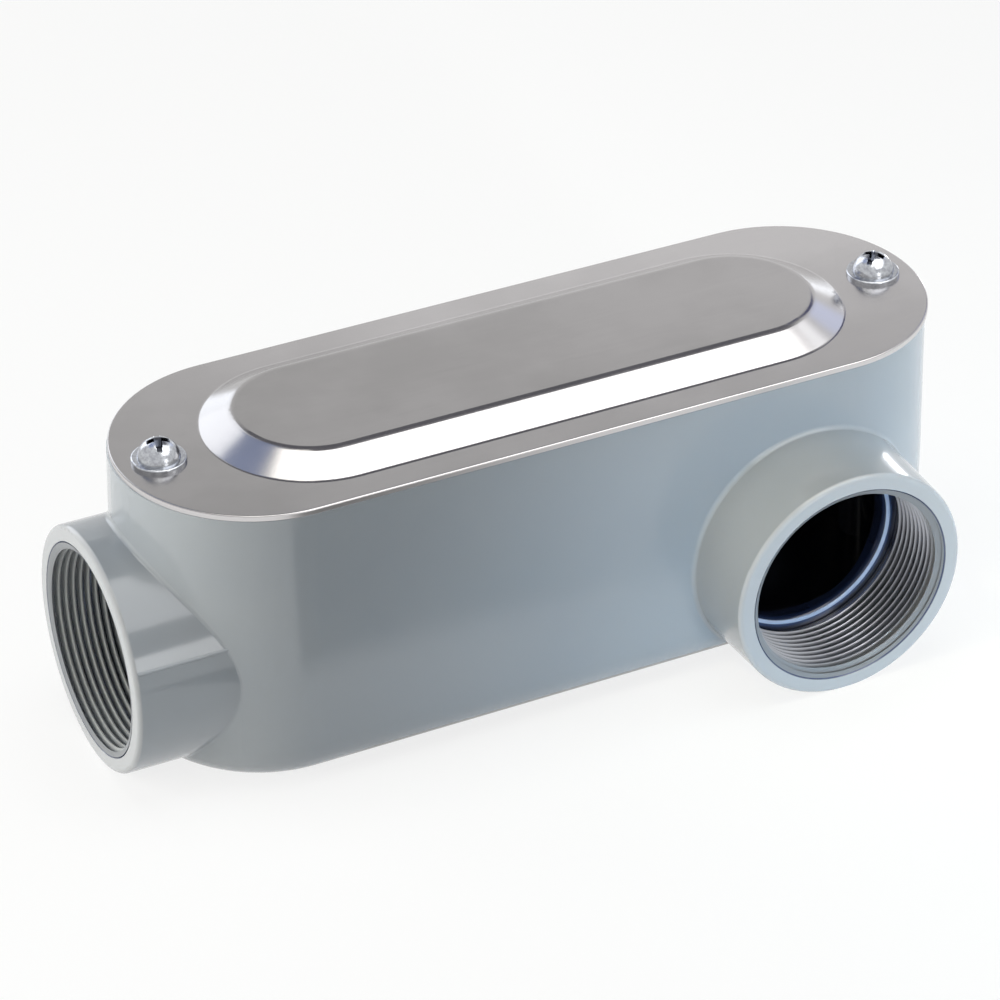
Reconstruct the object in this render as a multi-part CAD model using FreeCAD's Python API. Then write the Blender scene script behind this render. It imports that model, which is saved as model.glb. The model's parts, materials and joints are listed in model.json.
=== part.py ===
import FreeCAD, Part
import math
import os

# A two-inch conduit body with its side outlet on the right: a die-cast aluminium
# box with rounded ends, a threaded hub on one end, a second hub on one side, and
# a stamped cover that two screws hold down on a flat gasket.
# Millimetres. +Z points up out of the cover and the flat back lies on z = 0.
# X runs along the body, from the end hub (-X) to the closed end (+X). The origin is
# on the back, midway between the centres of the two round ends.
# The side hub points to -Y.

# Box of the casting
end_centre = 82.5          # from the middle of the body to the centre of each round end
rim_half_width = 40.3      # outside of the rim that the cover closes
body_height = 88.4         # back to rim
parting_swell = 1.1        # how much wider the box is at the hub axes than at the rim
back_draft = 0.8           # how much narrower it gets again from there to the back
parting_blend = 400.0      # large radius that hides the change of draft
back_edge_radius = 12.7    # soft outer edge round the back
rim_edge_radius = 0.5
wall = 3.4                 # wall at the rim
rim_land = 1.3             # top of the rim outside the gasket's ledge
back_wall = 3.5
core_draft = 0.6           # the cavity is this much narrower at its floor than at the rim

# Hubs
thread_major_radius = 30.15    # crest to crest of a two-inch taper pipe thread, halved
thread_depth = 26.0            # mouth of a hub to its stop
hub_wall = 5.25                # metal round the thread at the mouth
hub_foot = 0.6                 # sliver that is off the bottom of a hub, flush with the back
mouth_round = 1.4              # outer edge of the mouth
mouth_chamfer = 0.8            # lead-in at the thread
stop_radius = 26.25            # smooth throat that keeps the wires off the pipe end
stop_edge_radius = 2.0
stop_thickness = 4.0           # length of the throat in the end hub
sleeve_wall = 3.2              # metal round the thread inside the cavity
end_hub_projection = 11.2      # beyond the round end of the box, at the rim
side_hub_projection = 25.9     # beyond the long side of the box, at the rim
side_hub_setback = 13.8        # from the centre of the round end back to the hub axis
side_hub_flare = 1.0           # extra radius where the side hub meets the box
hub_root_radius = 1.2          # fillet there
seam_radius = 0.6              # round bead that the mould's parting leaves along the end hub
seam_height = 0.3              # how far it stands out
seam_angle = 20.3              # degrees above the hub axis

# Cover
cover_offset = 0.6             # cover, bosses and screws lie this far towards the closed end
cover_overhang = 0.2           # past the rim, on the long sides
cover_thickness = 1.6
cover_edge_radius = 0.45
pan_centre = 65.8              # centre of each round end of the raised pan
pan_base_radius = 31.2
pan_top_radius = 22.0
pan_height = 4.9
pan_base_bend = 1.8            # outer radius of the fold at the foot of the pan
pan_top_bend = 4.0             # outer radius of the fold at its top

# Gasket, on a ledge inside the rim
gasket_thickness = 0.8
gasket_ledge_clearance = 0.1   # to the rim, all round
gasket_width = 2.8
gasket_ear_wall = 3.4          # rubber round each screw hole
gasket_hole_clearance = 0.2

# Cover screws
screw_inset = 11.8             # from the end of the cover to the screw
screw_radius = 3.1
screw_hole_clearance = 0.1     # round the shank, in the casting
cover_hole_clearance = 0.5     # round the shank, in the cover
screw_tip_gap = 1.5            # under the tip of the screw
screw_tip_chamfer = 0.8
boss_wall = 3.3
flange_radius = 7.65
flange_thickness = 1.3
flange_edge_radius = 0.5
head_radius = 6.0
head_height = 5.4              # dome, above the flange
recess_width = 1.9             # arms of the cross recess
recess_span = 6.4
recess_depth = 3.0
slot_width = 1.5
slot_depth = 1.8
slot_angles = {"hub_end": 74.0, "far_end": 42.0}   # degrees from +X

# Sizes and places that follow
cover_half_width = rim_half_width + cover_overhang
hub_radius = thread_major_radius + hub_wall
hub_axis_z = hub_radius - hub_foot
end_mouth_x = -(end_centre + rim_half_width + end_hub_projection)
side_mouth_y = -(rim_half_width + side_hub_projection)
side_hub_x = end_centre - side_hub_setback
sleeve_radius = thread_major_radius + sleeve_wall
sleeve_end_x = end_mouth_x + thread_depth + stop_thickness
screw_reach = end_centre + cover_half_width - screw_inset
boss_radius = screw_radius + screw_hole_clearance + boss_wall
screw_hole_bottom = hub_axis_z + sleeve_radius + sleeve_wall / 2
ledge_half_width = rim_half_width - rim_land
ledge_z = body_height - gasket_thickness
cover_top = body_height + cover_thickness
screw_x = {-1: cover_offset - screw_reach, 1: cover_offset + screw_reach}
screw_length = cover_top - screw_hole_bottom - screw_tip_gap
beyond = 5.0               # how far a cutting shape runs past what it cuts

origin = FreeCAD.Vector(0, 0, 0)
along_x = FreeCAD.Vector(1, 0, 0)
along_y = FreeCAD.Vector(0, 1, 0)
along_z = FreeCAD.Vector(0, 0, 1)


# A closed face from corners (a, b, radius), with each corner rounded to its radius.
# The corners lie in the XZ plane, so a is a distance from the Z axis.
def rounded_face(corners):
    points = [FreeCAD.Vector(a, 0, b) for a, b, radius in corners]
    starts = []
    ends = []
    arcs = []
    for i, (a, b, radius) in enumerate(corners):
        corner = points[i]
        if radius == 0:
            starts.append(corner)
            ends.append(corner)
            arcs.append(None)
            continue
        back = (points[i - 1] - corner).normalize()
        ahead = (points[(i + 1) % len(points)] - corner).normalize()
        half_angle = back.getAngle(ahead) / 2
        run = radius / math.tan(half_angle)
        inward = (back + ahead).normalize()
        middle = corner + inward * (radius / math.sin(half_angle) - radius)
        start = corner + back * run
        end = corner + ahead * run
        starts.append(start)
        ends.append(end)
        arcs.append(Part.Arc(start, middle, end).toShape())
    edges = []
    for i in range(len(corners)):
        if arcs[i]:
            edges.append(arcs[i])
        following = starts[(i + 1) % len(corners)]
        if ends[i].distanceToPoint(following) > 1e-6:
            edges.append(Part.makeLine(ends[i], following))
    return Part.Face(Part.Wire(edges))


# A solid with straight sides and two round ends, all with the same section.
def obround(corners, centre):
    section = rounded_face(corners)
    near = section.rotated(origin, along_z, -90)
    far = section.rotated(origin, along_z, 90)
    left = FreeCAD.Vector(-centre, 0, 0)
    right = FreeCAD.Vector(centre, 0, 0)
    pieces = [
        near.translated(right).revolve(right, along_z, 180),
        far.translated(left).revolve(left, along_z, 180),
        near.translated(left).extrude(right - left),
        far.translated(left).extrude(right - left),
    ]
    return pieces[0].fuse(pieces[1:]).removeSplitter()


def flat_obround(half_width, thickness):
    return obround([
        (0, 0, 0),
        (half_width, 0, 0),
        (half_width, thickness, 0),
        (0, thickness, 0),
    ], end_centre)


# A turned solid on the Z axis.
def turned(corners):
    return rounded_face(corners).revolve(origin, along_z, 360)


# Puts a shape that was turned on the Z axis, with its mouth at z = 0 and its metal
# below it, onto a hub.
def on_end_hub(shape):
    turned_over = shape.rotated(origin, along_y, -90)
    return turned_over.translated(FreeCAD.Vector(end_mouth_x, 0, hub_axis_z))


def on_side_hub(shape):
    turned_over = shape.rotated(origin, along_x, 90)
    return turned_over.translated(FreeCAD.Vector(side_hub_x, side_mouth_y, hub_axis_z))


def box_outside():
    return obround([
        (0, 0, 0),
        (rim_half_width + parting_swell - back_draft, 0, back_edge_radius),
        (rim_half_width + parting_swell, hub_axis_z, parting_blend),
        (rim_half_width, body_height, rim_edge_radius),
        (0, body_height, 0),
    ], end_centre)


def cavity():
    rim = rim_half_width - wall
    return obround([
        (0, back_wall, 0),
        (rim - core_draft, back_wall, back_edge_radius - wall),
        (rim, body_height, 0),
        (rim, body_height + beyond, 0),
        (0, body_height + beyond, 0),
    ], end_centre)


# Outside of a hub, wider towards the box by the gain in radius per millimetre.
def hub_blank(length, gain):
    return turned([
        (0, -length, 0),
        (hub_radius + gain * length, -length, 0),
        (hub_radius, 0, mouth_round),
        (0, 0, 0),
    ])


# The threaded bore of a hub down to its stop, and the throat behind it.
def hub_bore(length):
    return turned([
        (0, beyond, 0),
        (thread_major_radius + mouth_chamfer + beyond, beyond, 0),
        (thread_major_radius, -mouth_chamfer, 0),
        (thread_major_radius, -thread_depth, 0),
        (stop_radius, -thread_depth, stop_edge_radius),
        (stop_radius, -length, 0),
        (0, -length, 0),
    ])


# True where every sample point of an edge passes the test.
def edge_is(edge, test):
    samples = edge.discretize(Number=7)
    return all(test(point) for point in samples)


# The edges in which a hub's outside runs into the box. A hub's own seam is straight.
def root_edges(shape, distance_from_axis, on_box_side):
    slack = side_hub_flare + parting_swell

    def on_root(point):
        on_hub = abs(distance_from_axis(point) - hub_radius) < slack
        return on_hub and on_box_side(point) and point.z > 0

    return [edge for edge in shape.Edges if edge_is(edge, on_root) and edge.Curve.TypeId != "Part::GeomLine"]


# The bead along both flanks of the end hub, from behind the rounded mouth into the box.
def seam_beads():
    away = hub_radius - seam_radius + seam_height
    start = end_mouth_x + mouth_round
    length = -end_centre - rim_half_width / 2 - start
    beads = []
    for side in (-1, 1):
        height = hub_axis_z + away * math.sin(math.radians(seam_angle))
        offset = side * away * math.cos(math.radians(seam_angle))
        beads.append(Part.makeCylinder(seam_radius, length, FreeCAD.Vector(start, offset, height), along_x))
    return beads


def casting_outside():
    outside = box_outside()
    run_in = back_edge_radius + beyond      # a hub's blank reaches the flat of the back

    side_blank = hub_blank(side_hub_projection + run_in, side_hub_flare / side_hub_projection)
    outside = outside.fuse(on_side_hub(side_blank)).removeSplitter()
    side_root = root_edges(
        outside,
        lambda point: math.hypot(point.x - side_hub_x, point.z - hub_axis_z),
        lambda point: side_mouth_y + 2 * mouth_round < point.y < -rim_half_width / 2,
    )
    outside = outside.makeFillet(hub_root_radius, side_root)

    end_blank = hub_blank(end_hub_projection + rim_half_width, 0)
    outside = outside.fuse(on_end_hub(end_blank)).removeSplitter()
    end_root = root_edges(
        outside,
        lambda point: math.hypot(point.y, point.z - hub_axis_z),
        lambda point: end_mouth_x + 2 * mouth_round < point.x < -end_centre,
    )
    outside = outside.makeFillet(hub_root_radius, end_root)

    outside = outside.fuse(seam_beads())
    reach = end_centre + rim_half_width + end_hub_projection + side_hub_projection
    above_back = Part.makeBox(2 * reach, 2 * reach, body_height + beyond, FreeCAD.Vector(-reach, -reach, 0))
    return outside.common(above_back)


# Metal inside the end hub's end of the box: a sleeve round the thread, filled in
# below its widest line so that the core can draw upwards.
def sleeve():
    length = sleeve_end_x - end_mouth_x
    tube = turned([
        (0, -length, 0),
        (sleeve_radius, -length, 0),
        (sleeve_radius, -end_hub_projection, 0),
        (0, -end_hub_projection, 0),
    ])
    far_left = -(end_centre + rim_half_width + parting_swell)
    fill = Part.makeBox(
        sleeve_end_x - far_left, 2 * rim_half_width, hub_axis_z - back_wall / 2,
        FreeCAD.Vector(far_left, -rim_half_width, back_wall / 2),
    )
    return on_end_hub(tube).fuse(fill).common(box_outside())


# A column for a cover screw, joined to the end wall of the box.
def boss(side, bottom):
    height = body_height - bottom
    column = Part.makeCylinder(boss_radius, height, FreeCAD.Vector(screw_x[side], 0, bottom))
    wall_x = side * (end_centre + rim_half_width)
    root = Part.makeBox(
        abs(wall_x - screw_x[side]), 2 * boss_radius, height,
        FreeCAD.Vector(min(wall_x, screw_x[side]), -boss_radius, bottom),
    )
    return column.fuse(root).common(box_outside())


def casting():
    shape = casting_outside().cut(cavity())
    shape = shape.fuse([
        sleeve(),
        boss(-1, hub_axis_z + thread_major_radius + sleeve_wall / 2),
        boss(1, back_wall / 2),
    ])
    end_bore = on_end_hub(hub_bore(sleeve_end_x - end_mouth_x + beyond))
    side_bore = on_side_hub(hub_bore(side_hub_projection + rim_half_width))
    shape = shape.cut([end_bore, side_bore])
    ledge = flat_obround(ledge_half_width, gasket_thickness + beyond).translated(along_z * ledge_z)
    shape = shape.cut(ledge)
    hole_radius = screw_radius + screw_hole_clearance
    hole_depth = body_height - screw_hole_bottom + beyond
    for side in (-1, 1):
        hole_foot = FreeCAD.Vector(screw_x[side], 0, screw_hole_bottom)
        shape = shape.cut(Part.makeCylinder(hole_radius, hole_depth, hole_foot))
    return shape.removeSplitter()


# A stamped sheet: a flat border, and a pan that is pushed up in the middle.
def cover():
    slope = math.atan2(pan_height, pan_base_radius - pan_top_radius)
    fold_shift = cover_thickness * math.tan(slope / 2)
    border = pan_base_radius + pan_base_bend + cover_thickness
    pan = obround([
        (0, pan_height + cover_thickness, 0),
        (0, pan_height, 0),
        (pan_top_radius - fold_shift, pan_height, pan_top_bend - cover_thickness),
        (pan_base_radius - fold_shift, 0, pan_base_bend + cover_thickness),
        (border, 0, 0),
        (border, cover_thickness, 0),
        (pan_base_radius, cover_thickness, pan_base_bend),
        (pan_top_radius, pan_height + cover_thickness, pan_top_bend),
    ], pan_centre)
    window = obround([
        (0, -beyond, 0),
        (border, -beyond, 0),
        (border, beyond, 0),
        (0, beyond, 0),
    ], pan_centre)
    plate = obround([
        (0, 0, 0),
        (cover_half_width, 0, 0),
        (cover_half_width, cover_thickness, cover_edge_radius),
        (0, cover_thickness, 0),
    ], end_centre)
    sheet = plate.cut(window).fuse(pan).removeSplitter()
    hole_radius = screw_radius + cover_hole_clearance
    for side in (-1, 1):
        hole_foot = FreeCAD.Vector(side * screw_reach, 0, -beyond)
        sheet = sheet.cut(Part.makeCylinder(hole_radius, 2 * beyond, hole_foot))
    return sheet.translated(FreeCAD.Vector(cover_offset, 0, body_height))


# A flat ring on the ledge, with an ear round each screw.
def gasket():
    outer = ledge_half_width - gasket_ledge_clearance
    outline = flat_obround(outer, gasket_thickness)
    ring = outline.cut(flat_obround(outer - gasket_width, gasket_thickness))
    hole_radius = screw_radius + gasket_hole_clearance
    ear_radius = hole_radius + gasket_ear_wall
    for side in (-1, 1):
        centre = FreeCAD.Vector(screw_x[side], 0, 0)
        ear = Part.makeCylinder(ear_radius, gasket_thickness, centre)
        edge_x = side * (end_centre + outer)
        root = Part.makeBox(
            abs(edge_x - screw_x[side]), 2 * ear_radius, gasket_thickness,
            FreeCAD.Vector(min(edge_x, screw_x[side]), -ear_radius, 0),
        )
        hole = Part.makeCylinder(hole_radius, gasket_thickness, centre)
        ring = ring.fuse(ear.fuse(root).common(outline)).cut(hole)
    return ring.removeSplitter().translated(along_z * ledge_z)


# A round-head screw with a washer face, a cross recess and a slot. Its washer face
# rests on the cover.
def cover_screw(side, slot_angle):
    flange_top = flange_thickness
    screw = turned([
        (0, -screw_length, 0),
        (screw_radius - screw_tip_chamfer, -screw_length, 0),
        (screw_radius, screw_tip_chamfer - screw_length, 0),
        (screw_radius, 0, 0),
        (flange_radius, 0, 0),
        (flange_radius, flange_top, flange_edge_radius),
        (0, flange_top, 0),
    ])
    dome_radius = (head_radius ** 2 + head_height ** 2) / (2 * head_height)
    dome_centre = FreeCAD.Vector(0, 0, flange_top + head_height - dome_radius)
    head = Part.makeCylinder(head_radius, head_height, along_z * flange_top)
    head = head.common(Part.makeSphere(dome_radius, dome_centre, along_z, -90, 90, 360))
    head_top = flange_top + head_height

    arm = Part.makeBox(
        recess_width, recess_span, recess_depth + beyond,
        FreeCAD.Vector(-recess_width / 2, -recess_span / 2, head_top - recess_depth),
    )
    cross = arm.fuse(arm.rotated(origin, along_z, 90))
    taper = Part.makeCone(
        recess_width / 2, recess_width / 2 + recess_span, 2 * recess_depth, along_z * (head_top - recess_depth))
    slot = Part.makeBox(
        slot_width, 2 * head_radius, slot_depth + beyond,
        FreeCAD.Vector(-slot_width / 2, -head_radius, head_top - slot_depth),
    )
    head = head.cut([cross.common(taper), slot])
    screw = screw.fuse(head).removeSplitter()
    screw = screw.rotated(origin, along_z, slot_angle - 90)
    return screw.translated(FreeCAD.Vector(screw_x[side], 0, cover_top))


parts = {
    "body_casting": casting(),
    "gasket": gasket(),
    "cover": cover(),
    "cover_screw_hub_end": cover_screw(-1, slot_angles["hub_end"]),
    "cover_screw_far_end": cover_screw(1, slot_angles["far_end"]),
}

os.makedirs("parts", exist_ok=True)
for name, shape in parts.items():
    shape.exportStep("parts/" + name + ".step")
    box = shape.optimalBoundingBox(False)
    print(name, "solids", len(shape.Solids), "valid", shape.isValid(), "volume mm3", round(shape.Volume))
    print("   x", round(box.XMin, 2), round(box.XMax, 2), "y", round(box.YMin, 2), round(box.YMax, 2),
          "z", round(box.ZMin, 2), round(box.ZMax, 2))
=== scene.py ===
import json
import math

import bpy
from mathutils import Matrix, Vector


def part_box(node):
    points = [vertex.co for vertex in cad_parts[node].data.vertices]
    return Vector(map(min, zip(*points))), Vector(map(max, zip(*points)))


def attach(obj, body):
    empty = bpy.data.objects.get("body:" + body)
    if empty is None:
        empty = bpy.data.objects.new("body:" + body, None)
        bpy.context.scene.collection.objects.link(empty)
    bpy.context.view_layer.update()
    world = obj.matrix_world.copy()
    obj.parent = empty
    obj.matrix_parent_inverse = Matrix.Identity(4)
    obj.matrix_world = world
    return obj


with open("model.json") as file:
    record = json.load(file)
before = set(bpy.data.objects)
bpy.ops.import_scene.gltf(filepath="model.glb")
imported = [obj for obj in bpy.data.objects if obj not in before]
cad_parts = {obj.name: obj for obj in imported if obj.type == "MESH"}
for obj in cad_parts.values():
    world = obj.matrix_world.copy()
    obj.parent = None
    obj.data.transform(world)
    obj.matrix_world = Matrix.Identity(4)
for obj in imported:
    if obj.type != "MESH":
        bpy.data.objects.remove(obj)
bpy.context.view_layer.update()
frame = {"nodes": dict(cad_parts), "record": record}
nodes = frame["nodes"]
mounts = {mount["name"]: mount for mount in frame["record"]["mounts"]}
print("frame loaded,", len(nodes), "pieces")

millimetre = 0.001


def deselectAll():
    if bpy.context.object and bpy.context.object.mode != "OBJECT":
        bpy.ops.object.mode_set(mode="OBJECT")
    bpy.ops.object.select_all(action="DESELECT")


def makeActive(piece):
    deselectAll()
    piece.select_set(True)
    bpy.context.view_layer.objects.active = piece


def applyModifiers(piece):
    makeActive(piece)
    for modifier in list(piece.modifiers):
        bpy.ops.object.modifier_apply(modifier=modifier.name)


def applyPlace(piece):
    makeActive(piece)
    bpy.ops.object.transform_apply(location=True, rotation=True, scale=True)


# The hubs' places come from their mounts: each bore's axis, radius and mouth
hubs = {
    "end": {"mount": "end_hub", "turn": (0, -math.pi / 2, 0), "phase": 0.0, "leadIn": 0.5 * millimetre},
    "side": {"mount": "side_hub", "turn": (math.pi / 2, 0, 0), "phase": 2.1, "leadIn": 1.8 * millimetre},
}   # leadIn: depth over which the first thread fades in
boreMouth = {
    "chamfer": 0.8 * millimetre,
    "reach": 13.0 * millimetre,         # from the mount's point out to the mouth
}

for hub in hubs.values():
    mount = mounts[hub["mount"]]
    hub["outward"] = Vector(mount["axis"])
    hub["radius"] = mount["dims"]["r_mm"] * millimetre
    hub["mouth"] = Vector(mount["pos_m"]) + hub["outward"] * boreMouth["reach"]

# Pipe thread
thread = {
    "pitch": 25.4 * millimetre / 11.5,  # 11.5 turns per inch
    "height": 1.7 * millimetre,         # crest above the bore's wall
    "crest": 0.3 * millimetre,          # width of the flat on top
    "letIn": 0.3 * millimetre,          # foot of the ridge inside the hub's wall
    "footShare": 0.99,                  # of the pitch
    "turns": 11,
    "deepest": 23.4 * millimetre,       # below the mouth
    "steps": 180,                       # per turn
    "above": 3.5 * millimetre,          # how far the trimming cone reaches past the mouth
    "sharperThan": math.radians(35),
}


# The ridge's open outline in one place: a wide foot, a narrow crest
def ridgeOutline(name, foot, crest):
    wide = thread["pitch"] * thread["footShare"]
    middle = (foot + crest) / 2
    deselectAll()
    bpy.ops.mesh.primitive_plane_add(size=1, rotation=(math.pi / 2, 0, 0))
    ridge = bpy.context.object
    ridge.name = name
    applyPlace(ridge)
    bpy.ops.object.mode_set(mode="EDIT")
    bpy.ops.transform.resize(value=(foot - crest, 1, wide))
    bpy.ops.transform.translate(value=(middle, 0, -thread["deepest"]))
    bpy.ops.mesh.select_all(action="DESELECT")
    bpy.ops.object.mode_set(mode="OBJECT")
    for vertex in ridge.data.vertices:
        vertex.select = vertex.co.x < middle
    bpy.ops.object.mode_set(mode="EDIT")
    bpy.ops.transform.resize(value=(1, 1, thread["crest"] / wide))
    bpy.ops.mesh.select_all(action="SELECT")
    bpy.ops.mesh.delete(type="ONLY_FACE")
    bpy.ops.object.mode_set(mode="OBJECT")
    return ridge


def windRidge(ridge):
    helix = ridge.modifiers.new("helix", "SCREW")
    helix.axis = "Z"
    helix.angle = 2 * math.pi
    helix.screw_offset = thread["pitch"]
    helix.iterations = thread["turns"]
    helix.steps = thread["steps"]
    helix.render_steps = thread["steps"]
    applyModifiers(ridge)
    bpy.ops.object.mode_set(mode="EDIT")
    bpy.ops.mesh.select_all(action="SELECT")
    bpy.ops.mesh.fill_holes(sides=0)
    bpy.ops.mesh.normals_make_consistent(inside=False)
    bpy.ops.object.mode_set(mode="OBJECT")


# A cone trims the first turns down to the mouth's chamfer
def trimRidge(ridge, hub, crest):
    mouthRadius = hub["radius"] + boreMouth["chamfer"]
    widening = (mouthRadius - crest) / hub["leadIn"]
    depth = hub["leadIn"] + thread["above"]
    deselectAll()
    bpy.ops.mesh.primitive_cone_add(
        vertices=thread["steps"],
        radius1=crest,
        radius2=crest + widening * depth,
        depth=depth,
        location=(0, 0, thread["above"] - depth / 2),
    )
    cone = bpy.context.object
    trim = ridge.modifiers.new("lead-in", "BOOLEAN")
    trim.operation = "DIFFERENCE"
    trim.object = cone
    applyModifiers(ridge)
    bpy.data.objects.remove(cone)


def threadRidge(name, hub):
    crest = hub["radius"] - thread["height"]
    ridge = ridgeOutline(name, hub["radius"] + thread["letIn"], crest)
    windRidge(ridge)
    trimRidge(ridge, hub, crest)
    ridge.rotation_euler = (0, 0, hub["phase"])
    applyPlace(ridge)
    ridge.rotation_euler = hub["turn"]
    ridge.location = hub["mouth"]
    applyPlace(ridge)
    bpy.ops.object.shade_smooth_by_angle(angle=thread["sharperThan"])
    return ridge


threads = {}
for hubName, hub in hubs.items():
    threads[hubName] = threadRidge(hubName + "HubThread", hub)
    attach(threads[hubName], "root")
print("threads cut,", sum(len(ridge.data.polygons) for ridge in threads.values()), "faces")


# Shader node helpers
def addNode(tree, kind, at, **settings):
    node = tree.nodes.new(kind)
    node.location = at
    for key, value in settings.items():
        setattr(node, key, value)
    return node


def setInputs(node, **values):
    for key, value in values.items():
        node.inputs[key].default_value = value


# A number or a colour is set on the socket, and another node's output is linked to it
def feed(tree, value, socket):
    if isinstance(value, (int, float)):
        socket.default_value = value
    elif isinstance(value, tuple):
        socket.default_value = (*value, 1)
    else:
        tree.links.new(value, socket)


def numberMath(tree, operation, first, second, at):
    node = addNode(tree, "ShaderNodeMath", at, operation=operation)
    feed(tree, first, node.inputs[0])
    feed(tree, second, node.inputs[1])
    return node.outputs[0]


def vectorMath(tree, operation, first, second, at):
    node = addNode(tree, "ShaderNodeVectorMath", at, operation=operation)
    tree.links.new(first, node.inputs[0])
    if operation == "SCALE":
        tree.links.new(second, node.inputs["Scale"])
    elif second is not None:
        tree.links.new(second, node.inputs[1])
    return node.outputs["Value" if operation in ("DOT_PRODUCT", "LENGTH") else "Vector"]


def splitAxes(tree, vector, at):
    node = addNode(tree, "ShaderNodeSeparateXYZ", at)
    tree.links.new(vector, node.inputs[0])
    return node.outputs["X"], node.outputs["Y"], node.outputs["Z"]


def mapRange(tree, value, fromLow, fromHigh, toLow, toHigh, at, soft=False):
    node = addNode(tree, "ShaderNodeMapRange", at)
    node.interpolation_type = "SMOOTHSTEP" if soft else "LINEAR"
    ends = {"Value": value, "From Min": fromLow, "From Max": fromHigh, "To Min": toLow, "To Max": toHigh}
    for key, end in ends.items():
        feed(tree, end, node.inputs[key])
    return node.outputs["Result"]


def mixColours(tree, factor, first, second, at):
    node = addNode(tree, "ShaderNodeMix", at, data_type="RGBA")
    tree.links.new(factor, node.inputs["Factor"])
    sockets = [socket for socket in node.inputs if socket.type == "RGBA"]
    feed(tree, first, sockets[0])
    feed(tree, second, sockets[1])
    return [socket for socket in node.outputs if socket.type == "RGBA"][0]


noiseSpan = (0.3, 0.7)      # most of a noise's values lie between these


def noise(tree, vector, at, **values):
    node = addNode(tree, "ShaderNodeTexNoise", at)
    tree.links.new(vector, node.inputs["Vector"])
    for key, value in values.items():
        feed(tree, value, node.inputs[key])
    return node.outputs["Fac"]


def newGroup(name, inputs, outputs):
    group = bpy.data.node_groups.new(name, "ShaderNodeTree")
    for direction, sockets in (("INPUT", inputs), ("OUTPUT", outputs)):
        for label, kind in sockets.items():
            group.interface.new_socket(label, in_out=direction, socket_type="NodeSocket" + kind)
    start = group.nodes.new("NodeGroupInput")
    end = group.nodes.new("NodeGroupOutput")
    end.location = (1400, 0)
    return group, start.outputs, end.inputs


# Mask of what lies inside a bore, from its mouth down to a depth
def makeBoreMask():
    group, given, result = newGroup(
        "boreMask",
        {"Vector": "Vector", "Mouth": "Vector", "Outward": "Vector",
         "Radius": "Float", "Depth": "Float", "Softness": "Float"},
        {"Mask": "Float"},
    )
    fromMouth = vectorMath(group, "SUBTRACT", given["Vector"], given["Mouth"], (200, 0))
    along = vectorMath(group, "DOT_PRODUCT", fromMouth, given["Outward"], (400, 100))
    onAxis = vectorMath(group, "SCALE", given["Outward"], along, (400, -100))
    offAxis = vectorMath(group, "SUBTRACT", fromMouth, onAxis, (600, 0))
    radial = vectorMath(group, "LENGTH", offAxis, None, (800, 0))
    outer = numberMath(group, "ADD", given["Radius"], given["Softness"], (800, -200))
    inRadius = mapRange(group, radial, given["Radius"], outer, 1, 0, (1000, 0), soft=True)
    below = numberMath(group, "MULTIPLY", along, -1, (600, 250))
    deeper = numberMath(group, "ADD", given["Depth"], given["Softness"], (800, 250))
    inDepth = mapRange(group, below, given["Depth"], deeper, 1, 0, (1000, 250), soft=True)
    mask = numberMath(group, "MULTIPLY", inRadius, inDepth, (1200, 0))
    group.links.new(mask, result["Mask"])
    return group


# Skin of a casting under paint: slow waves of the metal and the fine peel of the paint
skinNoise = {
    "wave": {"Detail": 2.0, "Roughness": 0.4},
    "peel": {"Detail": 1.0, "Roughness": 0.5},
}


def makeCastSkin():
    group, given, result = newGroup(
        "castSkin",
        {"Vector": "Vector", "Wave Scale": "Float", "Peel Scale": "Float", "Peel Share": "Float"},
        {"Height": "Float", "Tone": "Float"},
    )
    wave = noise(group, given["Vector"], (200, 200), Scale=given["Wave Scale"], **skinNoise["wave"])
    peel = noise(group, given["Vector"], (200, -100), Scale=given["Peel Scale"], **skinNoise["peel"])
    peelHeight = numberMath(group, "MULTIPLY", peel, given["Peel Share"], (500, -100))
    height = numberMath(group, "ADD", wave, peelHeight, (700, 0))
    group.links.new(height, result["Height"])
    group.links.new(wave, result["Tone"])
    return group


# Grain of metal: fine streaks along the direction that is stretched least, and slow clouds
grainNoise = {
    "streaks": {"Scale": 1.0, "Roughness": 0.6},
    "cloud": {"Scale": 28.0, "Detail": 3.0, "Roughness": 0.55},
}


def makeGrain():
    group, given, result = newGroup(
        "metalGrain",
        {"Vector": "Vector", "Stretch": "Vector", "Detail": "Float"},
        {"Streaks": "Float", "Cloud": "Float"},
    )
    stretched = vectorMath(group, "MULTIPLY", given["Vector"], given["Stretch"], (200, 0))
    streaks = noise(group, stretched, (500, 150), Detail=given["Detail"], **grainNoise["streaks"])
    cloud = noise(group, given["Vector"], (500, -150), **grainNoise["cloud"])
    group.links.new(streaks, result["Streaks"])
    group.links.new(cloud, result["Cloud"])
    return group


groups = {"boreMask": makeBoreMask(), "castSkin": makeCastSkin(), "metalGrain": makeGrain()}


def placeGroup(tree, name, vector, at, **values):
    node = addNode(tree, "ShaderNodeGroup", at)
    node.node_tree = groups[name]
    tree.links.new(vector, node.inputs["Vector"])
    setInputs(node, **values)
    return node.outputs


def newMaterial(name):
    material = bpy.data.materials.new(name)
    material.use_nodes = True
    tree = material.node_tree
    shader = tree.nodes["Principled BSDF"]
    shader.location = (1600, 0)
    tree.nodes["Material Output"].location = (1900, 0)
    place = addNode(tree, "ShaderNodeTexCoord", (-400, 0)).outputs["Object"]
    return material, tree, shader, place


def addBump(tree, shader, height, values, at):
    bump = addNode(tree, "ShaderNodeBump", at)
    setInputs(bump, **values)
    tree.links.new(height, bump.inputs["Height"])
    tree.links.new(bump.outputs["Normal"], shader.inputs["Normal"])


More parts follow.
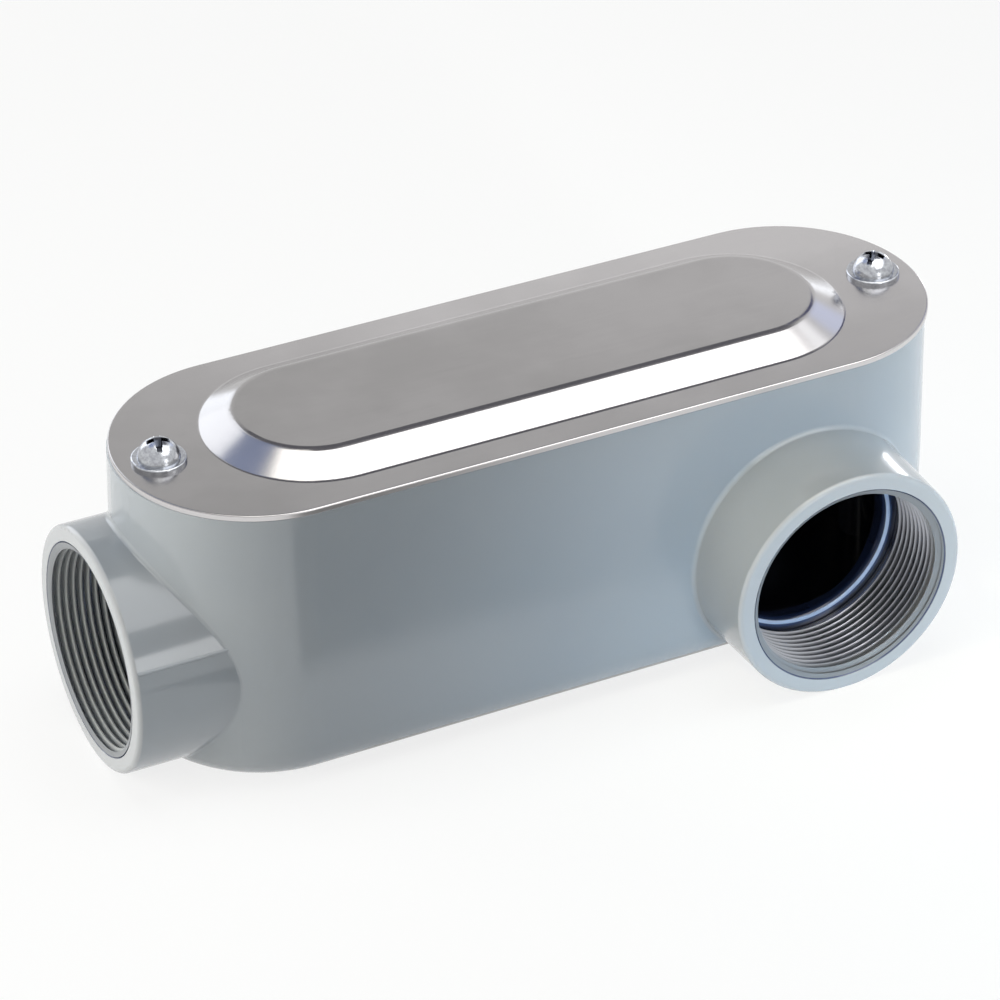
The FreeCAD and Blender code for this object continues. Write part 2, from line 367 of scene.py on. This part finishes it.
# Grey enamel of the casting, with bare machined metal in the bores and painted shade in the chamber
enamel = {
    "colour": (0.266, 0.290, 0.326),
    "colourThin": (0.282, 0.304, 0.336),     # a little lighter where the paint is thin
    "thinning": (0.2, 0.8),                  # of the skin's tone, from full paint to thin
    "skin": {"Wave Scale": 38.0, "Peel Scale": 1400.0, "Peel Share": 0.012},
    "bump": {"Strength": 0.25, "Distance": 0.5 * millimetre},
    "roughness": (0.12, 0.17),
    "coat": 0.15,                            # a crisper gloss over the paint
    "coatRoughness": 0.06,
    "chamberShade": (0.012, 0.014, 0.022),
    "chamberMiddle": 8.5 * millimetre,       # of the dark chamber, along the body
    "chamberHalfLength": 74 * millimetre,    # from there to the centre of each round end
    "chamberHalfWidth": 38.6 * millimetre,   # to the middle of the box's wall
    "chamberFloor": 1.7 * millimetre,
}

# Bands of both bores, in millimetres, each from the mouth down to its depth, later ones over earlier ones.
# All are as glossy as the paint, and the bare one is metal. The rims' lighter paint and the lips' pale blue
# are painted highlights; the throats' blue-black and the stops' navy are painted shade.
boreBands = {
    "rimHighlight": {"radius": 36.5, "depth": 0.9, "soft": 0.7, "colour": (0.34, 0.352, 0.38)},     # painted highlight: lighter paint on the mouth faces
    "throatShade": {"radius": 30.7, "depth": 31.0, "soft": 0.2, "colour": (0.012, 0.018, 0.045)},
    "stopShade": {"radius": 30.7, "depth": 26.1, "soft": 0.2, "colour": (0.045, 0.060, 0.120)},
    "lipHighlight": {"radius": 27.9, "depth": 26.7, "soft": 0.25, "colour": (0.40, 0.455, 0.61), "inner": 26.9},
    "bore": {"radius": 30.3, "depth": 25.6, "soft": 0.1, "colour": (0.40, 0.415, 0.45), "bare": True},
}


def boreMask(tree, place, hub, radius, band, at):
    return placeGroup(
        tree, "boreMask", place, at, Mouth=hub["mouth"], Outward=hub["outward"],
        Radius=radius * millimetre, Depth=band["depth"] * millimetre, Softness=band["soft"] * millimetre,
    )["Mask"]


# Mask of one band in both bores
def bandMask(tree, place, band, column):
    left = 200 + 500 * column
    mask = 0.0
    for row, hub in enumerate(hubs.values()):
        down = -700 - 300 * row
        outer = boreMask(tree, place, hub, band["radius"], band, (left, down))
        mask = numberMath(tree, "MAXIMUM", outer, mask, (left + 200, down))
        if "inner" in band:
            hollow = boreMask(tree, place, hub, band["inner"], band, (left, down - 800))
            mask = numberMath(tree, "SUBTRACT", mask, hollow, (left + 200, down - 800))
    return numberMath(tree, "MAXIMUM", mask, 0, (left + 400, -700))


# Mask of the chamber, where shade is painted: a long box with round ends
def chamberShadeMask(tree, place):
    x, y, z = splitAxes(tree, place, (0, -200))
    fromMiddle = numberMath(tree, "SUBTRACT", x, enamel["chamberMiddle"], (100, -200))
    fromMiddle = numberMath(tree, "ABSOLUTE", fromMiddle, 0, (200, -200))
    pastCentre = numberMath(tree, "SUBTRACT", fromMiddle, enamel["chamberHalfLength"], (400, -200))
    overEnd = numberMath(tree, "MAXIMUM", pastCentre, 0, (600, -200))
    overEndSquared = numberMath(tree, "MULTIPLY", overEnd, overEnd, (800, -200))
    sideSquared = numberMath(tree, "MULTIPLY", y, y, (600, -350))
    acrossSquared = numberMath(tree, "ADD", overEndSquared, sideSquared, (1000, -200))
    across = numberMath(tree, "SQRT", acrossSquared, 0, (1100, -200))
    inWall = numberMath(tree, "LESS_THAN", across, enamel["chamberHalfWidth"], (1200, -200))
    aboveFloor = numberMath(tree, "GREATER_THAN", z, enamel["chamberFloor"], (800, -450))
    return numberMath(tree, "MULTIPLY", inWall, aboveFloor, (1300, -300))


def makeEnamel():
    material, tree, shader, place = newMaterial("greyEnamel")
    skin = placeGroup(tree, "castSkin", place, (0, 300), **enamel["skin"])
    tone = mapRange(tree, skin["Tone"], *enamel["thinning"], 0, 1, (200, 500))
    paint = mixColours(tree, tone, enamel["colour"], enamel["colourThin"], (500, 500))
    # Painted shade: the chamber inside is near black
    paint = mixColours(tree, chamberShadeMask(tree, place), paint, enamel["chamberShade"], (700, 500))
    # Bands in the bores: painted highlights on rims and lips, painted shade in throats and on stops, and
    # bare metal
    for column, band in enumerate(boreBands.values()):
        mask = bandMask(tree, place, band, column)
        paint = mixColours(tree, mask, paint, band["colour"], (900 + 150 * column, 500))
        if band.get("bare"):
            tree.links.new(mask, shader.inputs["Metallic"])
    tree.links.new(paint, shader.inputs["Base Color"])
    roughness = mapRange(tree, skin["Tone"], *noiseSpan, *enamel["roughness"], (900, 100))
    tree.links.new(roughness, shader.inputs["Roughness"])
    addBump(tree, shader, skin["Height"], enamel["bump"], (1200, -100))
    shader.inputs["Coat Weight"].default_value = enamel["coat"]
    shader.inputs["Coat Roughness"].default_value = enamel["coatRoughness"]
    return material


# Threads, freshly cut
cutMetal = {
    "colour": (0.45, 0.465, 0.50),
    "dark": (0.38, 0.395, 0.44),
    "grain": {"Stretch": (500, 500, 500), "Detail": 2.0},
    "roughness": (0.28, 0.36),
    "bandRadius": 36.5,                 # millimetres, of all the bands below
}

# Bands of the threads, in millimetres, each from its hub's mouth down: half-dull turns and painted shade on
# the first turn in the end hub, and a dull, darker band over the side hub's first turns. Dull is how much
# less metallic a band is.
threadBands = {
    "turns": {"hub": "end", "depth": 24.0, "soft": 1.0, "colour": (0.37, 0.385, 0.40), "dull": 0.85},
    # painted shade on the end hub's first turn
    "paintedShade": {"hub": "end", "depth": 1.0, "soft": 0.5, "colour": (0.18, 0.19, 0.21), "dull": 0.0},
    # a dull, darker band over the side hub's first turns
    "sideFirstTurns": {"hub": "side", "depth": 1.0, "soft": 6.0, "colour": (0.17, 0.18, 0.20), "dull": 1.0},
}


def makeCutMetal():
    material, tree, shader, place = newMaterial("cutMetal")
    grain = placeGroup(tree, "metalGrain", place, (0, 200), **cutMetal["grain"])
    cloud = mapRange(tree, grain["Cloud"], *noiseSpan, 0, 1, (400, 300))
    metal = mixColours(tree, cloud, cutMetal["dark"], cutMetal["colour"], (600, 300))
    dull = 0.0
    for row, band in enumerate(threadBands.values()):
        up, right = 600 + 300 * row, 800 + 200 * row
        mask = boreMask(tree, place, hubs[band["hub"]], cutMetal["bandRadius"], band, (0, up))
        metal = mixColours(tree, mask, metal, band["colour"], (right, 300))
        share = numberMath(tree, "MULTIPLY", mask, band["dull"], (300, up))
        dull = numberMath(tree, "MAXIMUM", share, dull, (right, 600))
    tree.links.new(metal, shader.inputs["Base Color"])
    tree.links.new(numberMath(tree, "SUBTRACT", 1, dull, (1400, 600)), shader.inputs["Metallic"])
    roughness = mapRange(tree, grain["Streaks"], *noiseSpan, *cutMetal["roughness"], (700, 0))
    tree.links.new(roughness, shader.inputs["Roughness"])
    return material


# Satin rolled sheet of the cover, with a bright sheared edge. Its tone runs from dark at 0 to light at 1,
# and its gains are painted reflection.
sheet = {
    "thickness": 1.6 * millimetre,
    "colour": (0.53, 0.515, 0.515),
    "colourDark": (0.275, 0.268, 0.264),
    "clouds": (0.06, 0.23),             # tone of the sheet's clouds, which the gains below are added to
    "along": 0.46,                      # painted reflection gained along the body, from its left end to its right end
    "ends": (-0.16, 0.13),
    "flange": 0.16,                     # painted reflection gained below the pan's top, on the pan's flanks and the flange
    "back": 0.34,                       # painted reflection gained there besides, towards the back
    "backSpan": (-8.0 * millimetre, 34.0 * millimetre),
    "wholeFrom": 0.5,                   # both fade in from the left end, up to this share of along
    "topSpan": (0.9 * millimetre, 0.3 * millimetre),    # under the pan's top, where both end
    "grain": {"Stretch": (40, 1500, 1500), "Detail": 4.0},      # streaks run along the body
    "roughness": (0.18, 0.21),
    "bump": {"Strength": 0.05, "Distance": 0.010 * millimetre},
    "edgeColour": (0.64, 0.62, 0.625),
    "edgeRoughness": 0.3,
    "edgeSpan": (0.36 * millimetre, 0.18 * millimetre),     # under the flat face, where the edge begins
}


def makeSheet():
    material, tree, shader, place = newMaterial("satinSheet")
    grain = placeGroup(tree, "metalGrain", place, (0, 200), **sheet["grain"])
    x, y, z = splitAxes(tree, place, (0, 500))
    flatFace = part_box("cover")[0][2] + sheet["thickness"]
    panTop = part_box("cover")[1][2]
    topHeights = [panTop - depth for depth in sheet["topSpan"]]
    edgeHeights = [flatFace - depth for depth in sheet["edgeSpan"]]
    clouds = mapRange(tree, grain["Cloud"], *noiseSpan, *sheet["clouds"], (400, 300), soft=True)
    # Painted reflection: the tone gains along the body, on the flanks, the flange and towards the back
    along = mapRange(tree, x, *sheet["ends"], 0, sheet["along"], (400, 100))
    offTop = mapRange(tree, z, *topHeights, 1, 0, (400, -100))
    back = mapRange(tree, y, *sheet["backSpan"], 0, sheet["back"], (400, -300), soft=True)
    offEnd = mapRange(tree, along, 0, sheet["along"] * sheet["wholeFrom"], 0, 1, (600, -500))
    paintedReflection = numberMath(tree, "ADD", back, sheet["flange"], (600, -200))
    paintedReflection = numberMath(tree, "MULTIPLY", offTop, paintedReflection, (700, -100))
    paintedReflection = numberMath(tree, "MULTIPLY", paintedReflection, offEnd, (800, -100))
    tone = numberMath(tree, "ADD", clouds, along, (550, 200))
    tone = numberMath(tree, "ADD", tone, paintedReflection, (900, 200))
    face = mixColours(tree, tone, sheet["colourDark"], sheet["colour"], (700, 300))
    edge = mapRange(tree, z, *edgeHeights, 1, 0, (400, 500))
    colour = mixColours(tree, edge, face, sheet["edgeColour"], (900, 400))
    tree.links.new(colour, shader.inputs["Base Color"])
    faceRoughness = mapRange(tree, grain["Streaks"], *noiseSpan, *sheet["roughness"], (700, 0))
    roughness = mapRange(tree, edge, 0, 1, faceRoughness, sheet["edgeRoughness"], (900, 0))
    tree.links.new(roughness, shader.inputs["Roughness"])
    addBump(tree, shader, grain["Streaks"], sheet["bump"], (1000, -200))
    shader.inputs["Metallic"].default_value = 1.0
    return material


# Bright zinc plate on the screws, with painted shade down in the recess
zinc = {
    "colour": (0.50, 0.515, 0.54),
    "dull": (0.36, 0.37, 0.40),
    "patches": (0.35, 0.65),            # of the grain, from dull to bright
    "grain": {"Stretch": (900, 900, 900), "Detail": 2.0},
    "roughness": (0.17, 0.26),
    "domeRadius": 6.03 * millimetre,    # of the head's crown
    "paintedShade": (0.05, 0.055, 0.07),
    "paintedShadeSpan": (0.45 * millimetre, 0.15 * millimetre),    # under the crown's skin, from full painted shade to none
}


def makeZinc(screw):
    material, tree, shader, place = newMaterial("brightZinc_" + screw)
    grain = placeGroup(tree, "metalGrain", place, (0, 200), **zinc["grain"])
    patches = mapRange(tree, grain["Streaks"], *zinc["patches"], 0, 1, (400, 300))
    plate = mixColours(tree, patches, zinc["dull"], zinc["colour"], (700, 300))
    low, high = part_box(screw)
    centre = addNode(tree, "ShaderNodeCombineXYZ", (0, 500))
    setInputs(centre, X=(low[0] + high[0]) / 2, Y=(low[1] + high[1]) / 2, Z=high[2] - zinc["domeRadius"])
    fromCentre = vectorMath(tree, "SUBTRACT", place, centre.outputs[0], (200, 500))
    reach = vectorMath(tree, "LENGTH", fromCentre, None, (400, 500))
    shadeReach = [zinc["domeRadius"] - depth for depth in zinc["paintedShadeSpan"]]
    # Painted shade in the cross recess
    inRecess = mapRange(tree, reach, *shadeReach, 1, 0, (600, 500))
    colour = mixColours(tree, inRecess, plate, zinc["paintedShade"], (900, 400))
    tree.links.new(colour, shader.inputs["Base Color"])
    roughness = mapRange(tree, grain["Streaks"], *noiseSpan, *zinc["roughness"], (700, 0))
    tree.links.new(roughness, shader.inputs["Roughness"])
    shader.inputs["Metallic"].default_value = 1.0
    return material


# Black sheet rubber of the gasket
rubber = {
    "colour": (0.02, 0.02, 0.021),
    "chalky": (0.045, 0.045, 0.046),
    "chalking": (0.4, 0.7),             # of the speckle, from black to chalky
    "speckle": {"Scale": 900.0, "Detail": 3.0, "Roughness": 0.5},
    "roughness": (0.65, 0.8),
    "bump": {"Strength": 0.2, "Distance": 0.05 * millimetre},
}


def makeRubber():
    material, tree, shader, place = newMaterial("gasketRubber")
    speckle = noise(tree, place, (0, 200), **rubber["speckle"])
    chalk = mapRange(tree, speckle, *rubber["chalking"], 0, 1, (300, 200))
    colour = mixColours(tree, chalk, rubber["colour"], rubber["chalky"], (600, 200))
    tree.links.new(colour, shader.inputs["Base Color"])
    roughness = mapRange(tree, speckle, *noiseSpan, *rubber["roughness"], (600, 0))
    tree.links.new(roughness, shader.inputs["Roughness"])
    addBump(tree, shader, speckle, rubber["bump"], (900, -200))
    return material


def dress(piece, material):
    if piece.material_slots:
        piece.material_slots[0].material = material
    else:
        piece.data.materials.append(material)


dress(nodes["body_casting"], makeEnamel())
dress(nodes["cover"], makeSheet())
dress(nodes["gasket"], makeRubber())
for screw in ("cover_screw_hub_end", "cover_screw_far_end"):
    dress(nodes[screw], makeZinc(screw))
cutFaces = makeCutMetal()
for ridge in threads.values():
    dress(ridge, cutFaces)
print("materials on")


# White room: the camera and the gloss see white, everything else gets a plain ambient light
room = {"ambient": (0.95, 0.98, 1.0), "ambientStrength": 0.13, "white": 1.0}


def seenDirectly(tree, at):
    path = addNode(tree, "ShaderNodeLightPath", at).outputs
    seen = numberMath(tree, "MAXIMUM", path["Is Camera Ray"], path["Is Glossy Ray"], (at[0] + 200, at[1]))
    return numberMath(tree, "MAXIMUM", seen, path["Is Transmission Ray"], (at[0] + 400, at[1]))


def finishWithMix(tree, share, lit, white, output):
    mix = addNode(tree, "ShaderNodeMixShader", (600, 0))
    for source, socket in zip((share, lit.outputs[0], white.outputs[0]), mix.inputs):
        tree.links.new(source, socket)
    end = addNode(tree, output, (800, 0))
    tree.links.new(mix.outputs[0], end.inputs[0])


def makeWorld():
    world = bpy.data.worlds.new("whiteRoom")
    bpy.context.scene.world = world
    world.use_nodes = True
    tree = world.node_tree
    tree.nodes.clear()
    ambient = addNode(tree, "ShaderNodeBackground", (300, 100))
    setInputs(ambient, Color=(*room["ambient"], 1), Strength=room["ambientStrength"])
    white = addNode(tree, "ShaderNodeBackground", (300, -100))
    setInputs(white, Color=(1, 1, 1, 1), Strength=room["white"])
    finishWithMix(tree, seenDirectly(tree, (-400, 300)), ambient, white, "ShaderNodeOutputWorld")


# Pale floor that keeps the shadows: whiteShare is how much of the room's white is laid over it
paleFloor = {"size": 8, "colour": (0.92, 0.92, 0.92), "whiteShare": 0.8}


def makeFloor():
    deselectAll()
    bpy.ops.mesh.primitive_plane_add(size=paleFloor["size"], location=(0, 0, 0))
    floor = bpy.context.object
    floor.name = "paleFloor"
    material = bpy.data.materials.new("paleFloor")
    material.use_nodes = True
    tree = material.node_tree
    tree.nodes.clear()
    lit = addNode(tree, "ShaderNodeBsdfDiffuse", (300, 100))
    setInputs(lit, Color=(*paleFloor["colour"], 1))
    white = addNode(tree, "ShaderNodeEmission", (300, -100))
    setInputs(white, Color=(1, 1, 1, 1))
    seen = seenDirectly(tree, (-400, 300))
    share = numberMath(tree, "MULTIPLY", seen, paleFloor["whiteShare"], (200, 300))
    finishWithMix(tree, share, lit, white, "ShaderNodeOutputMaterial")
    dress(floor, material)


# Soft panels: place, size, what they face, radiance seen in a mirror, colour, and what sees them
panels = {
    "overhead": {"at": (0.47, -0.585, 1.09), "size": (0.98, 1.23), "faces": (0.47, -0.585, 0),
                 "radiance": 3.0, "colour": (1.0, 1.0, 1.0), "diffuse": False},
    "overheadLeft": {"at": (-0.19, -0.155, 1.08), "size": (0.34, 0.79), "faces": (-0.19, -0.155, 0),
                     "radiance": 2.9, "colour": (1.0, 0.99, 0.94), "diffuse": False},
    "overheadRight": {"at": (1.12, -0.15, 1.08), "size": (0.34, 0.86), "faces": (1.12, -0.15, 0),
                      "radiance": 1.3, "colour": (0.92, 0.95, 1.0), "diffuse": False},
    "lilacRight": {"at": (1.05, 0.44, 0.62), "size": (0.34, 0.34), "faces": (0.10, 0, 0.09),
                   "radiance": 0.55, "colour": (0.25, 0.42, 1.0), "diffuse": False},
    "backLeft": {"at": (-0.36, 0.99, 0.50), "size": (0.52, 0.96), "faces": (-0.09, 0, 0.09),
                 "radiance": 1.7, "colour": (0.86, 0.91, 1.0), "diffuse": False},
    "backLow": {"at": (-0.03, 0.99, 0.27), "size": (0.17, 0.40), "faces": (-0.09, 0, 0.09),
                "radiance": 1.5, "colour": (0.84, 0.90, 1.0), "diffuse": False},
    "backRight": {"at": (0.98, 0.84, 0.15), "size": (0.22, 0.16), "faces": (0.09, 0, 0.09),
                  "radiance": 1.2, "colour": (0.86, 0.92, 1.0)},
    "hubGlint": {"at": (0.36, 0.197, 0.065), "size": (0.035, 0.035), "faces": (0.11, -0.045, 0.06),
                 "radiance": 14.0, "colour": (1.0, 1.0, 1.0), "diffuse": False},
    "left": {"at": (-0.78, -0.10, 0.30), "size": (0.60, 0.60), "faces": (-0.05, 0, 0.05),
             "radiance": 2.5, "colour": (0.80, 0.93, 1.0), "gloss": False},
    "farLeft": {"at": (-1.90, -0.12, 0.65), "size": (1.80, 1.40), "faces": (-0.05, 0, 0.05),
                "radiance": 2.8, "colour": (1.0, 0.82, 0.52), "gloss": False},
    "leftBack": {"at": (-1.10, 0.62, 0.40), "size": (0.60, 0.60), "faces": (-0.10, 0, 0.05),
                 "radiance": 5.5, "colour": (0.94, 0.97, 1.0), "gloss": False},
    "right": {"at": (1.30, 0.10, 0.33), "size": (1.20, 0.90), "faces": (0.10, 0, 0.05),
              "radiance": 2.1, "colour": (0.80, 0.90, 1.0), "gloss": False},
    "nearRight": {"at": (0.34, -0.14, 0.12), "size": (0.14, 0.14), "faces": (0.09, -0.04, 0.05),
                  "radiance": 6.8, "colour": (0.82, 0.97, 1.0), "gloss": False},
    "top": {"at": (0.0, 0.0, 1.30), "size": (0.80, 0.80), "faces": (0, 0, 0.05),
            "radiance": 3.2, "colour": (0.96, 0.99, 0.97), "gloss": False},
    "frontStrip": {"at": (0.20, -1.20, 0.30), "size": (0.25, 0.25), "faces": (-0.10, 0, 0.05),
                   "radiance": 5.0, "colour": (1.0, 1.0, 1.0)},
}

# Spots on the long side, its foot and the side hub's flank: cone in degrees
spots = {
    "spotRight": {"at": (0.10, -1.0, 0.30), "faces": (0.110, -0.04, 0.045),
                  "cone": 16, "watts": 13.5, "colour": (1.0, 0.98, 0.87)},
    "spotLow": {"at": (0.05, -1.0, 0.10), "faces": (0.060, -0.04, 0.010),
                "cone": 14, "watts": 23, "colour": (0.50, 0.78, 1.0)},
    "spotFlank": {"at": (-0.45, -0.12, 0.95), "faces": (0.062, -0.055, 0.055),
                  "cone": 9, "watts": 11, "colour": (1.0, 0.87, 0.47)},
}
spotBulb = {"radius": 0.06, "blend": 1.0}   # blend: how soft the cone's edge is


def facing(place):
    return (Vector(place["faces"]) - Vector(place["at"])).to_track_quat("-Z", "Y").to_euler()


def hangLamp(name, light, place):
    lamp = bpy.data.objects.new(name, light)
    bpy.context.scene.collection.objects.link(lamp)
    lamp.location = place["at"]
    lamp.rotation_euler = facing(place)
    lamp.visible_camera = False
    return lamp


def makePanels():
    for name, panel in panels.items():
        light = bpy.data.lights.new(name, "AREA")
        light.shape = "RECTANGLE"
        light.size, light.size_y = panel["size"]
        light.energy = panel["radiance"] * math.pi * light.size * light.size_y
        light.color = panel["colour"]
        lamp = hangLamp(name, light, panel)
        lamp.visible_diffuse = panel.get("diffuse", True)
        lamp.visible_glossy = panel.get("gloss", True)


def makeSpots():
    for name, spot in spots.items():
        light = bpy.data.lights.new(name, "SPOT")
        light.energy = spot["watts"]
        light.color = spot["colour"]
        light.spot_size = math.radians(spot["cone"])
        light.spot_blend = spotBulb["blend"]
        light.shadow_soft_size = spotBulb["radius"]
        hangLamp(name, light, spot).visible_glossy = False


# Cards seen only in the gloss, where a lamp can't darken the white room: what each one glows with
cards = {
    "folds": {"at": (0.36, 0.635, 1.10), "size": (1.04, 1.17), "faces": (0.36, 0.635, 0),
              "glow": (0.20, 0.20, 0.23)},
    "violetLeft": {"at": (-0.411, 0.521, 1.00), "size": (0.50, 0.46), "faces": (-0.085, 0, 0.09),
                   "glow": (0.48, 0.57, 0.86)},
    "navyRight": {"at": (0.78, 0.62, 0.72), "size": (0.28, 0.28), "faces": (0.115, -0.01, 0.088),
                  "glow": (0.06, 0.07, 0.22)},
}


# A black plane that only the gloss sees, with a glow of its own
def glossPlane(name, at, turn, size, glow):
    deselectAll()
    bpy.ops.mesh.primitive_plane_add(size=1, location=at, rotation=turn)
    plane = bpy.context.object
    plane.name = name
    plane.scale = (*size, 1)
    applyPlace(plane)
    material, tree, shader, place = newMaterial(name)
    shader.inputs["Base Color"].default_value = (0, 0, 0, 1)
    shader.inputs["Specular IOR Level"].default_value = 0
    shader.inputs["Emission Color"].default_value = (*glow, 1)
    shader.inputs["Emission Strength"].default_value = 1
    dress(plane, material)
    plane.visible_camera = False
    plane.visible_diffuse = False
    plane.visible_shadow = False
    return tree, shader, place


def makeCards():
    for name, card in cards.items():
        glossPlane(name, card["at"], facing(card), card["size"], card["glow"])


# Dark patch on the floor before the long side, seen only in the gloss. It dims the paint past the left end.
floorShade = {
    "low": (-0.086, -0.215),        # corners, in metres
    "high": (0.095, -0.080),
    "lift": 0.5 * millimetre,
    "glow": (1.0, 1.0, 1.0),        # what it fades to, as white as the floor around it
    "leftFade": (-0.086, -0.076),   # along the body: from the floor's white to dark
    "rightFade": (-0.020, 0.090),   # and back
    "nearFade": (-0.110, -0.082),   # towards the wall's foot, from dark to white
}


def makeFloorShade():
    low, high = floorShade["low"], floorShade["high"]
    middle = ((low[0] + high[0]) / 2, (low[1] + high[1]) / 2, floorShade["lift"])
    size = (high[0] - low[0], high[1] - low[1])
    tree, shader, place = glossPlane("floorShade", middle, (0, 0, 0), size, floorShade["glow"])
    x, y = splitAxes(tree, place, (0, 0))[:2]
    left = mapRange(tree, x, *floorShade["leftFade"], 1, 0, (300, 200), soft=True)
    right = mapRange(tree, x, *floorShade["rightFade"], 0, 1, (300, 0), soft=True)
    near = mapRange(tree, y, *floorShade["nearFade"], 0, 1, (300, -200), soft=True)
    strength = numberMath(tree, "MAXIMUM", left, right, (600, 100))
    strength = numberMath(tree, "MAXIMUM", strength, near, (800, 0))
    tree.links.new(strength, shader.inputs["Emission Strength"])


# The photo's viewpoint: degrees, metres, and millimetres for the lens and the sensor
viewpoint = {
    "azimuth": -26.54,
    "elevation": 33.23,
    "aim": (-0.01392, -0.01183, 0.05575),
    "distance": 1.25,
    "lens": 161.08,
    "sensor": 36,
}


def makeCamera():
    azimuth = math.radians(viewpoint["azimuth"])
    elevation = math.radians(viewpoint["elevation"])
    level = math.cos(elevation)
    back = Vector((math.sin(azimuth) * level, -math.cos(azimuth) * level, math.sin(elevation)))
    camera = bpy.data.cameras.new("camera")
    camera.lens = viewpoint["lens"]
    camera.sensor_width = viewpoint["sensor"]
    holder = bpy.data.objects.new("camera", camera)
    bpy.context.scene.collection.objects.link(holder)
    holder.location = Vector(viewpoint["aim"]) + back * viewpoint["distance"]
    holder.rotation_euler = (-back).to_track_quat("-Z", "Y").to_euler()
    bpy.context.scene.camera = holder


makeWorld()
makeFloor()
makePanels()
makeSpots()
makeCards()
makeFloorShade()
makeCamera()
bpy.context.scene.view_settings.view_transform = "Standard"
print("room, lamps and camera set")
